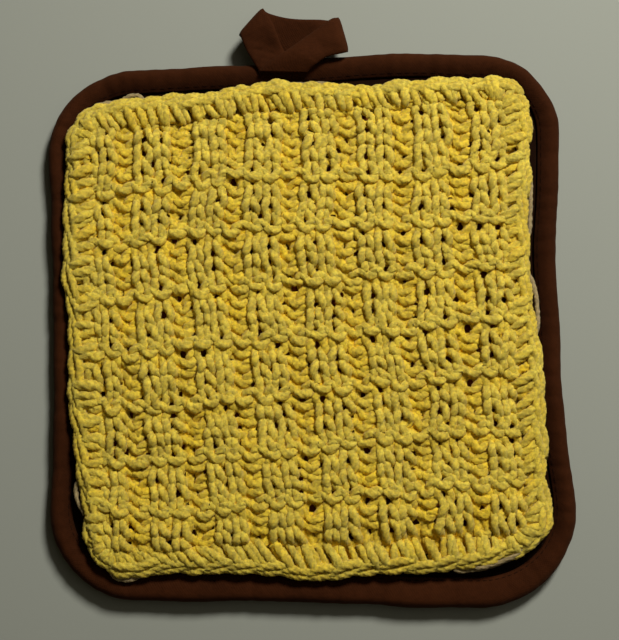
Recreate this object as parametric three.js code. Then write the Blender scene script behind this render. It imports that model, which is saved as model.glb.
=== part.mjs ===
// Knit potholder: a brown padded square bound with bias tape, a folded hanging loop at the back edge,
// and a hand-knit yellow square with a crocheted edging joined on top of it.
// Millimetres. +X is right, +Y is towards the hanging loop, +Z is up, and it lies flat on its back.

import * as THREE from 'three';
import { mergeVertices } from 'three/addons/utils/BufferGeometryUtils.js';

// Clearance that touching pieces keep
const GAP = 0.35;

// Heights above the surface that the potholder lies on
const ROLL_HEIGHT = 7.6;        // crest of the bound edge
const SEAM_HEIGHT = 6.2;        // binding where it is stitched down on the face
const FACE_HEIGHT = 6.9;        // padded face just inside the seam
const FACE_CROWN = 0.7;         // how much the filling lifts the middle of the face
const KNIT_THICKNESS = 4.2;
const EDGING_BOTTOM = 7.5;
const EDGING_TOP = 11.6;

// Bias tape
const TAPE_WALL = 1.0;          // folded cotton on the bound edge
const ROLL_CREST_IN = 3.6;      // crest of the roll, in from the outer edge
const ROLL_ANGLES = [-90, -60, -30, 0, 30, 60, 90].map(THREE.MathUtils.degToRad);
const SLOPE_BULGE = 0.35;       // fullness of the tape between its crest and its seam
const LOOP_THICKNESS = 1.2;

// Width of the bound edge on each side
const BINDING_WIDTH = { left: 7.6, right: 7.0, front: 10.4, back: 8.4 };

// Steps round each corner and along each side of every outline
const CORNER_STEPS = 9;
const SIDE_STEPS = 9;

// Outer edge of the binding: sharp corners before they are rounded, and how far the side that follows
// each corner strays outwards, at equal steps along it
const PAD_CORNERS = [
  { at: 'front left', x: -90.4, y: -90.5, radius: 34, sway: [0, -0.1, -0.6, -0.7, -0.3, 0.3, 0] },
  { at: 'front right', x: 90.5, y: -99.0, radius: 37, sway: [0, -1.8, -2.9, -2.9, -3.5, -1.6, 0] },
  { at: 'back right', x: 90.5, y: 98.5, radius: 32, sway: [0, 0.5, 0.7, 0.2, -0.4, -0.3, 0] },
  { at: 'back left', x: -90.4, y: 93.3, radius: 31, sway: [0, -0.3, 0.2, 0, -0.3, -0.1, 0] },
];

// Outer edge of the crocheted edging, which lies a little askew on the pad
const EDGING_CORNERS = [
  { at: 'front left', x: -78.6, y: -84.0, radius: 18, sway: [0, 1.0, -1.5, 0.2, 1.8, 1.2, -1.4, 0] },
  { at: 'front right', x: 82.0, y: -84.0, radius: 20, sway: [0, -0.4, -0.3, -1.4, -2.6, -2.8, -0.8, 0] },
  { at: 'back right', x: 79.3, y: 87.0, radius: 10, sway: [0, 0.5, 0.7, 1.8, 3.6, 1.0, -0.6, 0] },
  { at: 'back left', x: -84.0, y: 79.5, radius: 13, sway: [0, 0.5, 1.3, 0.2, 1.3, 0.6, 0.3, 0] },
];

// Edge of the knit square inside it
const PANEL_CORNERS = [
  { at: 'front left', x: -69.8, y: -74.6, radius: 3, sway: [0, 0.6, -0.8, 0.2, 1.0, 0.8, -0.7, 0] },
  { at: 'front right', x: 71.6, y: -74.4, radius: 7, sway: [0, -0.2, -0.4, -1.4, -1.8, -1.8, -0.5, 0] },
  { at: 'back right', x: 69.6, y: 77.6, radius: 3, sway: [0, 0.3, 0.5, 1.0, 1.4, 0.6, -0.4, 0] },
  { at: 'back left', x: -74.0, y: 70.6, radius: 3, sway: [0, 0.3, 0.8, 0.2, 0.8, 0.4, 0.2, 0] },
];

// Slow waves of the hand-knit square: height, wavelength and heading of each
const KNIT_WAVES = [
  { height: 0.32, length: 61, heading: 0.5, start: 0.4 },
  { height: 0.22, length: 43, heading: 2.1, start: 1.9 },
];

// The folded tape of the hanging loop, as lines across it: both of its edges, [x, y, z], from the end
// stitched down behind the knit, out to the left fold, back underneath to the right fold, and home
const LOOP_LINES = [
  { at: 'lower end', near: [-14.0, 88.0, 8.5], far: [-1.7, 88.0, 8.5] },
  { at: 'over the roll', near: [-15.7, 91.7, 8.6], far: [-2.6, 92.0, 8.6] },
  { at: 'clear of the roll', near: [-17.7, 94.4, 9.0], far: [-3.9, 95.8, 9.0] },
  { at: 'left leg', near: [-19.6, 98.2, 9.9], far: [-6.3, 101.2, 9.9] },
  { at: 'left fold begins', near: [-20.8, 102.3, 10.2], far: [-11.7, 111.7, 10.2] },
  { at: 'left fold upper', near: [-21.9, 104.4, 9.2], far: [-12.8, 113.7, 9.2] },
  { at: 'left fold', near: [-22.2, 105.2, 7.0], far: [-13.0, 114.5, 7.0] },
  { at: 'left fold lower', near: [-21.4, 105.0, 4.8], far: [-12.2, 114.3, 4.8] },
  { at: 'left fold ends', near: [-19.1, 104.1, 3.8], far: [-10.0, 113.4, 3.8] },
  { at: 'underneath, left', near: [-13.4, 101.8, 3.6], far: [-5.5, 112.4, 3.6] },
  { at: 'underneath, middle', near: [-4.0, 99.3, 3.5], far: [-1.2, 111.2, 3.5] },
  { at: 'underneath, right', near: [6.0, 98.7, 3.6], far: [4.5, 110.8, 3.6] },
  { at: 'right fold begins', near: [13.4, 98.5, 4.0], far: [9.5, 111.3, 4.0] },
  { at: 'right fold lower', near: [16.1, 98.3, 5.4], far: [12.2, 111.4, 5.4] },
  { at: 'right fold', near: [17.0, 97.5, 7.8], far: [13.1, 110.8, 7.8] },
  { at: 'right fold upper', near: [16.4, 96.4, 10.2], far: [12.6, 109.8, 10.2] },
  { at: 'right fold ends', near: [14.3, 95.2, 11.3], far: [10.4, 108.4, 11.4] },
  { at: 'right leg', near: [8.6, 92.8, 11.2], far: [3.2, 102.0, 11.9] },
  { at: 'crossing', near: [3.2, 90.5, 10.8], far: [-5.2, 97.4, 11.9] },
  { at: 'over the left leg', near: [0.2, 89.0, 10.6], far: [-11.6, 92.9, 11.2] },
  { at: 'upper end', near: [-1.7, 88.0, 10.2], far: [-14.0, 88.0, 10.3] },
];
const LOOP_STEPS = 3;           // sections between two of the lines above

const COLOURS = { brown: 0x3a1d10, tape: 0x44210f, yarn: 0xc9a548 };

function material(colour, roughness) {
  return new THREE.MeshStandardMaterial({ color: colour, roughness, metalness: 0 });
}

// Value of a Catmull-Rom curve through equally spaced values, at a fraction of its length
function swayAt(values, fraction) {
  const place = fraction * (values.length - 1);
  const index = Math.min(Math.floor(place), values.length - 2);
  const t = place - index;
  const before = values[Math.max(index - 1, 0)];
  const start = values[index];
  const end = values[index + 1];
  const after = values[Math.min(index + 2, values.length - 1)];
  const slopeIn = (end - before) / 2;
  const slopeOut = (after - start) / 2;
  const cubic = 2 * (start - end) + slopeIn + slopeOut;
  const square = 3 * (end - start) - 2 * slopeIn - slopeOut;
  return ((cubic * t + square) * t + slopeIn) * t + start;
}

// Closed anticlockwise outline with round corners and swaying sides, as points with outward normals
function outline(corners) {
  const arcs = corners.map((corner, index) => {
    const here = new THREE.Vector2(corner.x, corner.y);
    const last = corners[(index + corners.length - 1) % corners.length];
    const next = corners[(index + 1) % corners.length];
    const arriving = here.clone().sub(new THREE.Vector2(last.x, last.y)).normalize();
    const leaving = new THREE.Vector2(next.x, next.y).sub(here).normalize();
    const turn = Math.acos(arriving.dot(leaving));
    const reach = corner.radius * Math.tan(turn / 2);
    const start = here.clone().addScaledVector(arriving, -reach);
    const end = here.clone().addScaledVector(leaving, reach);
    const outward = new THREE.Vector2(arriving.y, -arriving.x);
    const centre = start.clone().addScaledVector(outward, -corner.radius);
    return { corner, start, end, outward, centre, turn };
  });
  const stations = [];
  arcs.forEach((arc, index) => {
    for (let step = 0; step < CORNER_STEPS; step += 1) {
      const angle = (arc.turn * step) / CORNER_STEPS;
      const normal = arc.outward.clone().rotateAround(new THREE.Vector2(), angle);
      const point = arc.centre.clone().addScaledVector(normal, arc.corner.radius);
      stations.push({ point, normal });
    }
    const next = arcs[(index + 1) % arcs.length];
    for (let step = 0; step < SIDE_STEPS; step += 1) {
      const fraction = step / SIDE_STEPS;
      const normal = next.outward.clone();
      const point = arc.end.clone().lerp(next.start, fraction);
      point.addScaledVector(normal, swayAt(arc.corner.sway, fraction));
      stations.push({ point, normal });
    }
  });
  return stations;
}

// Width of the bound edge where the outline faces the given way
function bindingWidth(normal) {
  const across = normal.x > 0 ? BINDING_WIDTH.right : BINDING_WIDTH.left;
  const along = normal.y > 0 ? BINDING_WIDTH.back : BINDING_WIDTH.front;
  return across * normal.x ** 2 + along * normal.y ** 2;
}

// Point a given way in from a station of an outline, at a height
function inside(station, distance, height) {
  const place = station.point.clone().addScaledVector(station.normal, -distance);
  return new THREE.Vector3(place.x, place.y, height);
}

// Lift of the padded face at a place
function crown(place) {
  const across = 1 - (place.x / 90) ** 2;
  const along = 1 - (place.y / 97) ** 2;
  return FACE_CROWN * Math.max(across, 0) * Math.max(along, 0);
}

// Closed mesh from a position list and triangles
function solid(points, triangles) {
  const geometry = new THREE.BufferGeometry();
  const positions = points.flatMap((point) => [point.x, point.y, point.z]);
  geometry.setAttribute('position', new THREE.Float32BufferAttribute(positions, 3));
  geometry.setIndex(triangles);
  const merged = mergeVertices(geometry, 1e-4);
  merged.computeVertexNormals();
  return merged;
}

// Quads between successive rows of points of equal length, facing out where the rows and the points in
// them turn the right-handed way; the last row joins the first where the shape is a ring
function bands(loops, closes) {
  const size = loops[0].length;
  const last = closes ? loops.length : loops.length - 1;
  const triangles = [];
  for (let row = 0; row < last; row += 1) {
    const next = (row + 1) % loops.length;
    for (let column = 0; column < size; column += 1) {
      const beside = (column + 1) % size;
      const a = row * size + column;
      const b = row * size + beside;
      const c = next * size + beside;
      const d = next * size + column;
      triangles.push(a, b, c, a, c, d);
    }
  }
  return triangles;
}

// Disc-like solid from loops that run from the middle of the underside, out round the edge, and back
// to the middle of the top
function cushionGeometry(loops, bottomMiddle, topMiddle) {
  const size = loops[0].length;
  const points = loops.flat();
  const triangles = bands(loops, false);
  const bottom = points.length;
  const top = bottom + 1;
  points.push(bottomMiddle, topMiddle);
  const topStart = (loops.length - 1) * size;
  for (let column = 0; column < size; column += 1) {
    const beside = (column + 1) % size;
    triangles.push(bottom, beside, column);
    triangles.push(top, topStart + column, topStart + beside);
  }
  return solid(points, triangles);
}

// Loop drawn in towards the middle of the object by a scale, at a height worked out at each place
function drawnIn(loop, scale, heightAt) {
  return loop.map((point) => {
    const place = new THREE.Vector3(point.x * scale, point.y * scale, 0);
    place.z = heightAt(place);
    return place;
  });
}

// Half-round of the bound edge at a station, from the underside out and up to the crest, drawn in from
// the outer surface of the tape by a depth
function rollSection(station, depth) {
  const half = ROLL_HEIGHT / 2;
  return ROLL_ANGLES.map((angle) => {
    const distance = ROLL_CREST_IN - (ROLL_CREST_IN - depth) * Math.cos(angle);
    return inside(station, distance, half + (half - depth) * Math.sin(angle));
  });
}

// Slope of the bound edge between its crest and its seam, drawn in by a depth: halfway, and at the seam
function slopeSection(station, depth) {
  const width = bindingWidth(station.normal);
  const halfway = (ROLL_HEIGHT + SEAM_HEIGHT) / 2 + SLOPE_BULGE;
  return [
    inside(station, (ROLL_CREST_IN + width) / 2, halfway - depth),
    inside(station, width, SEAM_HEIGHT - depth),
  ];
}

// Padded body: thin under the binding, drawn in at the seam, and crowned inside it
function padGeometry(edge) {
  const depth = TAPE_WALL + GAP;
  const faceAt = (place) => FACE_HEIGHT + crown(place);
  const floorAt = () => 0;
  const past = (extra, height) => edge.map((station) => (
    inside(station, bindingWidth(station.normal) + extra, height)));
  const wrapped = edge.map((station) => [...rollSection(station, depth), ...slopeSection(station, depth)]);
  const wrappedLoops = wrapped[0].map((point, index) => wrapped.map((section) => section[index]));
  const faceEdge = past(3.2, 0).map((point) => point.setZ(faceAt(point)));
  const floorEdge = past(2.2, 0);
  const loops = [
    drawnIn(floorEdge, 0.5, floorAt),
    floorEdge,
    past(GAP, depth),
    ...wrappedLoops,
    past(GAP + 0.1, SEAM_HEIGHT - TAPE_WALL),
    past(1.4, FACE_HEIGHT - 0.35),
    faceEdge,
    ...[0.75, 0.5, 0.25].map((scale) => drawnIn(faceEdge, scale, faceAt)),
  ];
  const middle = new THREE.Vector3();
  return cushionGeometry(loops, middle, new THREE.Vector3(0, 0, faceAt(middle)));
}

// Bias tape folded round the pad's edge: a C-shaped section carried round the outline
function bindingGeometry(edge) {
  const sections = edge.map((station) => {
    const width = bindingWidth(station.normal);
    const outer = [inside(station, width, 0), ...rollSection(station, 0), ...slopeSection(station, 0)];
    const inner = [inside(station, width, TAPE_WALL), ...rollSection(station, TAPE_WALL)];
    inner.push(...slopeSection(station, TAPE_WALL));
    return [...inner, ...outer.reverse()];
  });
  return solid(sections.flat(), bands(sections, true));
}

// Height of the slow waves of the knit at a place
function wave(place) {
  return KNIT_WAVES.reduce((height, row) => {
    const along = place.x * Math.cos(row.heading) + place.y * Math.sin(row.heading);
    return height + row.height * Math.sin((2 * Math.PI * along) / row.length + row.start);
  }, 0);
}

// Hand-knit square: an even slab on the padded face, with slow waves on top
function panelGeometry(edge) {
  const restsAt = (place) => FACE_HEIGHT + crown(place) + GAP;
  const topAt = (place) => restsAt(place) + KNIT_THICKNESS + wave(place);
  const rim = edge.map((station) => inside(station, 0, 0));
  const scales = [0.25, 0.5, 0.75, 1];
  const underside = scales.map((scale) => drawnIn(rim, scale, restsAt));
  const topside = [...scales].reverse().map((scale) => drawnIn(rim, scale, topAt));
  const middle = new THREE.Vector3();
  const bottomMiddle = new THREE.Vector3(0, 0, restsAt(middle));
  const topMiddle = new THREE.Vector3(0, 0, topAt(middle));
  return cushionGeometry([...underside, ...topside], bottomMiddle, topMiddle);
}

// Crocheted edging: a flattened cord-like border between the knit square and its own outer edge
function edgingGeometry(outer, inner) {
  const low = EDGING_BOTTOM;
  const high = EDGING_TOP;
  const mid = (low + high) / 2;
  const sections = outer.map((station, index) => {
    const rim = station.point;
    const seam = inner[index].point.clone().addScaledVector(inner[index].normal, GAP);
    const at = (fraction, height) => {
      const place = seam.clone().lerp(rim, fraction);
      return new THREE.Vector3(place.x, place.y, height);
    };
    return [
      at(0, high), at(0.45, high + 0.3), at(0.85, high), at(0.97, mid + 1.1), at(1, mid),
      at(0.97, mid - 1.1), at(0.85, low), at(0.45, low), at(0, low),
    ];
  });
  return solid(sections.flat(), bands(sections, true));
}

// Hanging loop: the tape swept through its lines, as thick as folded cotton
function loopGeometry() {
  const curve = (side) => new THREE.CatmullRomCurve3(
    LOOP_LINES.map((line) => new THREE.Vector3(...line[side])), false, 'centripetal');
  const near = curve('near');
  const far = curve('far');
  const count = (LOOP_LINES.length - 1) * LOOP_STEPS;
  const middles = [];
  for (let step = 0; step <= count; step += 1) {
    const t = step / count;
    middles.push({ a: near.getPoint(t), b: far.getPoint(t) });
  }
  const sections = middles.map((line, index) => {
    const before = middles[Math.max(index - 1, 0)];
    const after = middles[Math.min(index + 1, count)];
    const travel = after.a.clone().add(after.b).sub(before.a).sub(before.b);
    const across = line.b.clone().sub(line.a);
    const normal = across.cross(travel).normalize().multiplyScalar(LOOP_THICKNESS / 2);
    return [
      line.a.clone().add(normal), line.b.clone().add(normal),
      line.b.clone().sub(normal), line.a.clone().sub(normal),
    ];
  });
  const size = 4;
  const end = count * size;
  const triangles = bands(sections, false);
  triangles.push(0, 2, 1, 0, 3, 2);
  triangles.push(end, end + 1, end + 2, end, end + 2, end + 3);
  return solid(sections.flat(), triangles);
}

function addPiece(parent, name, geometry, colour, roughness) {
  const mesh = new THREE.Mesh(geometry, material(colour, roughness));
  mesh.name = name;
  parent.add(mesh);
}

const padEdge = outline(PAD_CORNERS);
const edgingEdge = outline(EDGING_CORNERS);
const panelEdge = outline(PANEL_CORNERS);

const potholder = new THREE.Group();
addPiece(potholder, 'pad', padGeometry(padEdge), COLOURS.brown, 0.95);
addPiece(potholder, 'binding', bindingGeometry(padEdge), COLOURS.tape, 0.9);
addPiece(potholder, 'hanging_loop', loopGeometry(), COLOURS.tape, 0.9);
addPiece(potholder, 'knit_panel', panelGeometry(panelEdge), COLOURS.yarn, 0.95);
addPiece(potholder, 'knit_edging', edgingGeometry(edgingEdge, panelEdge), COLOURS.yarn, 0.95);

// The origin is on the surface, below the middle of the whole outline
const box = new THREE.Box3().setFromObject(potholder);
potholder.position.set(-(box.min.x + box.max.x) / 2, -(box.min.y + box.max.y) / 2, -box.min.z);

export default potholder;
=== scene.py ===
"""A knit potholder: a padded brown cotton square bound with bias tape, its folded hanging loop, and a
hand-knit yellow cotton square with a crocheted edging joined on top.

Lengths in the tables are millimetres; MM turns them into the metres that Blender works in.
"""

import math

import bpy
import numpy as np
from mathutils import Matrix, Vector
from mathutils.kdtree import KDTree


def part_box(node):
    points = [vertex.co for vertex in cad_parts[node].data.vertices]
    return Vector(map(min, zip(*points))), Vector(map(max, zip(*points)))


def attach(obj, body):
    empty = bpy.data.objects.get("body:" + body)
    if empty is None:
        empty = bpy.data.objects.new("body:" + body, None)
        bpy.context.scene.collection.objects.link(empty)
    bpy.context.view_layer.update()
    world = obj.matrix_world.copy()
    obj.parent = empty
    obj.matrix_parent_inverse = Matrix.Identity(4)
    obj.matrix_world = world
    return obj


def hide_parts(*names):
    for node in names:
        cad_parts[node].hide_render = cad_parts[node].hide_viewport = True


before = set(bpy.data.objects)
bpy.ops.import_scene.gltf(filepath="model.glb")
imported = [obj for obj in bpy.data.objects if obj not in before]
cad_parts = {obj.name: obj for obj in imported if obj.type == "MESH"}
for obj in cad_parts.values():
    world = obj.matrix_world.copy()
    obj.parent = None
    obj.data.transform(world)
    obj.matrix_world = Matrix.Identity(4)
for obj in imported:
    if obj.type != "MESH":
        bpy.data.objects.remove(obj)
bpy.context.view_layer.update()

MM = 0.001
UV_UNIT = 10                 # millimetres to a unit of UV
THREADS = 22.0               # threads of the woven cotton to a unit of UV


def table(columns, *rows):
    """Rows as dictionaries by the names of the columns."""
    return [dict(zip(columns.split(), row, strict=True)) for row in rows]


# --- Driving sizes ---

# Heights of the bound edge and the padded face above the surface
ROLL_HEIGHT = 7.6
FACE_HEIGHT = 6.9
FACE_CROWN = 0.7
FACE_HALF_SIZE = (90.0, 97.0)    # where the face's crown has run out, across and along
TAPE_WALL = 1.0
CLEARANCE = 0.35
ROLL_CREST_IN = 2.9          # how far the crest of the roll lies in from its outline
SLOPE_SHARES = (0.16, 0.34, 0.52, 0.70, 0.86, 0.96, 1.0)
SLOPE_POWER = 1.7            # how much of the roll's inner fall comes close to the seam
BINDING_WIDTH = {"left": 7.6, "right": 7.6, "front": 10.4, "back": 8.4}
SEAM_HEIGHT = {"left": 4.8, "right": 4.3, "front": 6.0, "back": 4.6}
SEAM_SHADING = {"left": 0.5, "right": 0.3, "front": 0.0, "back": 0.5}    # painted shade: how much darker the tape is made there, at the seam
SEAM_INSET = 1.1             # from the tape's turned edge to its stitches
SEAM_PITCH = 3.0
SEAM_STITCH_RADIUS = 0.15
LOWER_SEAM_HEIGHT = 0.26
# One seam stitch: its places along the pitch, and how far they stand out of the tape
SEAM_STITCH_ALONG = np.array([0.0, 0.12, 0.4, 0.68, 0.8])
SEAM_STITCH_RISE = np.array([-0.22, 0.0, 0.06, 0.0, -0.22])

# The pad's face: how far in from the seam it has reached which share of its height
FACE_CLIMB = table("inward share", (0.45, 0.0), (1.1, 0.04), (2.0, 0.12), (3.6, 0.3), (5.2, 0.6))
SEAM_TUCK = 0.3              # how far the pad's cloth dips below the tape at the seam
FACE_RIM_IN = 7.4            # where it has all of it
FLOOR_RIM_IN = 2.2           # the flat underside's rim, from the seam
FACE_SCALES = (0.9, 0.75, 0.5, 0.25, 0.02)   # rings inside a rim

# Painted light and shade on the brown cotton: its tone in the seam's valley (painted shade), on plain cloth
# (none) and on the face under the knitting (painted light), and the brightness it gives at the two ends
SHADED_SEAM_TONE, PLAIN_TONE, LIT_FACE_TONE = 0.0, 0.06, 1.0
SEAM_LIGHT, FACE_LIGHT = 0.3, 12.0

# Distances across the tape from its lower edge: where it wraps the roll, and where it slopes to the seam
WRAP_FROM, WRAP_RADIUS = 4.0, 3.4
SLOPE_FROM, SLOPE_WIDTH = 15.0, 4.5

# Waves of the tape, as counts round the pad and their height: slow ones, and gathers at the seam
SLOW_WAVES, SLOW_WAVE = range(14, 34, 3), 0.11
GATHERS, GATHER = range(88, 150, 7), 0.055

# The relief starts at this angle on the roll's outside and is this far on its way in at the crest
RELIEF_FROM = -0.3
RELIEF_ON_ROLL = 0.25
RELIEF_AT_CREST = 0.47
RELIEF_OUTWARDS = 0.6

# Creases across the binding, and how far each slants on its way in
CREASES = table(
    "at near slant width depth",
    ("back left corner", (-72.0, 91.0), 3.0, 2.4, -0.45),
    ("back left corner, ridge", (-64.0, 93.0), 3.5, 2.6, 0.35),
    ("back, left", (-42.0, 94.0), 1.5, 2.0, -0.35),
    ("back, beside the loop", (-20.0, 95.0), -2.5, 2.2, -0.5),
    ("back, right of the loop", (16.0, 96.0), 2.5, 2.0, -0.4),
    ("back, right", (44.0, 98.0), -1.5, 2.6, -0.3),
    ("back right corner", (75.0, 95.0), -3.0, 2.4, -0.5),
    ("back right corner, ridge", (81.0, 90.0), -3.5, 2.4, 0.35),
    ("right, back", (88.0, 58.0), 2.5, 3.0, -0.3),
    ("right, middle", (88.0, 20.0), -2.0, 2.4, -0.3),
    ("right, front", (92.0, -34.0), 2.0, 2.2, -0.35),
    ("front right corner", (88.0, -76.0), 3.5, 2.2, -0.55),
    ("front right corner, ridge", (83.0, -83.0), 3.0, 2.6, 0.45),
    ("front right corner, second", (76.0, -89.0), 3.0, 2.2, -0.5),
    ("front, right", (56.0, -97.0), 1.5, 2.4, -0.5),
    ("front, right of the middle", (34.0, -99.0), -1.5, 3.2, -0.45),
    ("front, middle", (8.0, -98.0), 1.0, 2.2, -0.4),
    ("front, pucker", (-14.0, -96.0), 1.2, 1.6, -0.35),
    ("front, second pucker", (-22.0, -96.0), 0.6, 1.6, -0.4),
    ("front, third pucker", (-29.0, -95.0), -0.6, 1.6, -0.35),
    ("front left corner", (-72.0, -84.0), -3.0, 2.4, -0.5),
    ("front left corner, ridge", (-79.0, -77.0), -3.0, 2.4, 0.35),
    ("left, front", (-90.0, -46.0), -2.0, 2.6, -0.4),
    ("left, middle", (-90.0, 4.0), 2.0, 2.6, -0.35),
    ("left, back", (-90.0, 47.0), -2.0, 2.4, -0.35),
)

# Outlines by their corners before rounding; sway is how far the side after a corner strays outwards at
# equal steps of its length
PAD_CORNERS = table(
    "at place radius sway",
    ("front left", (-90.4, -90.5), 31, [0, -0.1, -0.6, -0.7, -0.3, 0.3, 0]),
    ("front right", (90.5, -99.0), 34, [0, -2.0, -2.9, -2.7, -3.1, -1.0, 0]),
    ("back right", (90.5, 97.1), 28, [0, 1.6, 1.8, 0.9, 0.2, 0.3, 0]),
    ("back left", (-90.4, 93.3), 31, [0, -0.9, -1.2, -1.3, -1.4, -0.9, 0]),
)
EDGING_CORNERS = table(
    "at place radius sway",
    ("front left", (-78.6, -84.0), 18, [0, 1.0, -1.5, 0.2, 1.8, 1.2, -1.4, 0]),
    ("front right", (82.0, -84.0), 20, [0, -0.4, -0.3, -1.4, -2.6, -2.8, -0.8, 0]),
    ("back right", (79.3, 87.0), 12, [0, 0.5, 0.7, 1.8, 3.6, 1.9, 1.3, 0]),
    ("back left", (-84.0, 79.5), 13, [0, 0.5, 1.3, 0.2, 1.3, 0.6, 0.3, 0]),
)
PANEL_CORNERS = table(
    "at place radius sway",
    ("front left", (-69.8, -74.6), 3, [0, 0.6, -0.8, 0.2, 1.0, 0.8, -0.7, 0]),
    ("front right", (71.6, -74.4), 7, [0, -0.2, -0.4, -1.4, -1.8, -1.8, -0.5, 0]),
    ("back right", (69.6, 77.6), 3, [0, 0.3, 0.5, 1.0, 1.4, 0.6, -0.4, 0]),
    ("back left", (-74.0, 70.6), 3, [0, 0.3, 0.8, 0.2, 0.8, 0.4, 0.2, 0]),
)

# The hanging loop's tape as lines across it, from one edge to the other; puff lifts the middle
LOOP_LINES = table(
    "at near far puff",
    ("lower end", (-15.0, 90.9, 7.8), (-2.9, 90.9, 7.8), 0.0),
    ("over the roll", (-15.9, 93.0, 8.4), (-3.9, 93.6, 8.4), 0.1),
    ("clear of the roll", (-17.4, 95.6, 8.8), (-5.0, 96.8, 8.8), -0.3),
    ("left leg", (-19.3, 99.0, 9.4), (-6.7, 99.9, 9.4), -1.1),
    ("left leg, upper", (-20.3, 101.4, 9.9), (-8.3, 104.3, 10.5), -0.9),
    ("left fold begins", (-21.0, 103.2, 9.9), (-10.0, 108.7, 10.4), 0.2),
    ("left fold upper", (-21.5, 104.6, 9.0), (-12.6, 113.4, 9.2), 0.6),
    ("left fold", (-21.8, 105.1, 7.0), (-13.1, 114.7, 7.0), 0.0),
    ("left fold lower", (-21.1, 104.9, 4.8), (-12.3, 114.4, 4.8), 0.0),
    ("left fold ends", (-19.1, 104.1, 3.8), (-10.4, 113.7, 3.8), 0.0),
    ("underneath, left", (-13.4, 101.8, 2.4), (-5.5, 111.8, 5.2), 0.1),
    ("underneath, middle", (-4.0, 99.3, 1.7), (-0.1, 110.8, 6.0), -0.2),
    ("underneath, right", (6.0, 98.7, 2.2), (6.8, 110.7, 5.4), 0.1),
    ("right fold begins", (12.6, 98.9, 4.0), (10.4, 110.7, 4.0), 0.0),
    ("right fold lower", (15.6, 98.4, 5.4), (12.5, 110.7, 5.4), 0.0),
    ("right fold", (16.5, 97.8, 7.8), (13.4, 110.5, 7.8), 0.0),
    ("right fold upper", (16.1, 97.1, 9.9), (12.9, 109.6, 10.2), 0.5),
    ("right fold ends", (14.2, 96.4, 10.9), (10.4, 108.6, 11.3), 1.1),
    ("right leg", (9.2, 95.4, 10.9), (3.7, 103.9, 11.5), 0.5),
    ("crossing", (5.2, 93.0, 10.4), (-4.0, 98.6, 11.6), 1.2),
    ("over the left leg", (3.4, 91.8, 9.7), (-11.0, 94.5, 10.7), 0.5),
    ("upper end", (2.3, 90.7, 8.9), (-15.0, 91.3, 9.1), 0.2),
)
LOOP_THICKNESS = 1.2
LOOP_WIDTH = 12.5
LOOP_CRUMPLE = 0.22          # height of the tape's small unevenness
LOOP_STEPS, LOOP_COLUMNS = 9, 16     # mesh between two lines, and across the tape

# Knitting: repeats of two knit stitches and one purl, with a purl ridge every fourth row
STITCHES = 23
ROWS = 32
TUCK_UNDER_LEFT = 4.4        # how much further the knitting reaches under the left edging
ROW_START = -0.43            # where row 0 begins, in rows from the back edge of the square
FIRST_ROW = -1
KNIT_BANDS = ("back", "middle", "front")
RIDGE_EVERY = 4
FIRST_RIDGE = 1
# How far the handmade knitting strays to the right and to the back, at quarters of its width
DRIFT = table(
    "row right back",
    (0, [0, -0.3, -1.0, 0, 0], [0, 0, 0, 0, 0]),
    (5, [0, -0.3, -1.0, 0, 0.3], [0.7, 0.7, 0, -2.0, 0.2]),
    (13, [0, -1.6, -1.7, 0.3, 2.4], [0, -1.0, 0.3, 1.0, 2.2]),
    (21, [0.3, 0, 0, 0.6, 1.2], [-1.0, -3.0, -1.0, 2.6, 3.3]),
    (29, [0.6, 2.2, 2.4, 1.6, 0], [-1.0, -2.6, -0.7, 2.9, 3.6]),
    (32, [0.6, 2.2, 2.4, 1.6, 0], [-0.4, -1.0, 0, 1.5, 2.0]),
)
KNIT_SHARE = 0.31            # width of a knit stitch in its repeat of three
YARN_RADIUS = 1.37
LOOP_DEPTH = 0.85            # how far a strand lies before or behind the middle of the fabric
RIB_LIFT, PURL_DROP, RIDGE_LIFT = 0.42, -0.40, 0.50    # how the waffle rises and falls
RIB_FROM, RIB_SLOPE = 0.36, 0.34         # stitches from a purl column's middle to the ribs beside it
RIDGE_ABOVE, RIDGE_BELOW = 0.85, 0.42    # reach of a ridge in rows, to the back and to the front
FABRIC_LIFT = 0.6            # clear of the pad at the lowest strands
PANEL_SIZE = (145.0, 150.0)  # across and along, to tell how near its rim a place is
EDGE_SINK, EDGE_SINK_WIDTH = 1.3, 6.0    # how far the knitting dips under the edging, and over what way
GROUND_CELL = 0.85           # mesh of the close back of the fabric
GROUND_INSET = 5.0           # how far its rim lies in from the edging's
GROUND_FALL = 0.6            # how steeply it falls past the last stitches
HOLE_SHARE = 0.74            # size of a hole in the ground, to how far its strands part
YARN_SIDES = 12
YARN_FLATNESS = np.array([1.07, 1.05, 0.74])   # soft yarn lies wider than it is high
PLIES = 4
PLY_PITCH = 12.0
PLY_GROOVE, PLY_SWELL = 0.83, 1.05
FLANK_FROM, FLANK_FADE = 0.9, 0.8    # how steep a yarn's surface lies where painted shade starts to deepen its colour, and over what way it grows
BROAD_STRAY = 1.4            # handmade unevenness over several stitches
FINE_STRAY = (0.9, 1.05)     # and from stitch to stitch, across and along
BROAD_WAVE, FINE_WAVE = 1.0, 0.5     # and up and down
# Chance of a gap, and the least and most that it pushes its strands apart, by where it opens
HOLES = {
    "between stitches": {"chance": 0.26, "least": 1.0, "most": 1.6},
    "inside a stitch": {"chance": 0.38, "least": 1.1, "most": 1.8},
    "inside a ridge stitch": {"chance": 0.28, "least": 1.3, "most": 2.0},
    "inside a purl": {"chance": 0.22, "least": 1.0, "most": 1.7},
    "between ridge stitches": {"chance": 0.0, "least": 1.0, "most": 1.0},
}
HOLE_REACH, HOLE_FADE = 7.0, 4.0     # how far off strands still give way, and over what way that fades

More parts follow.
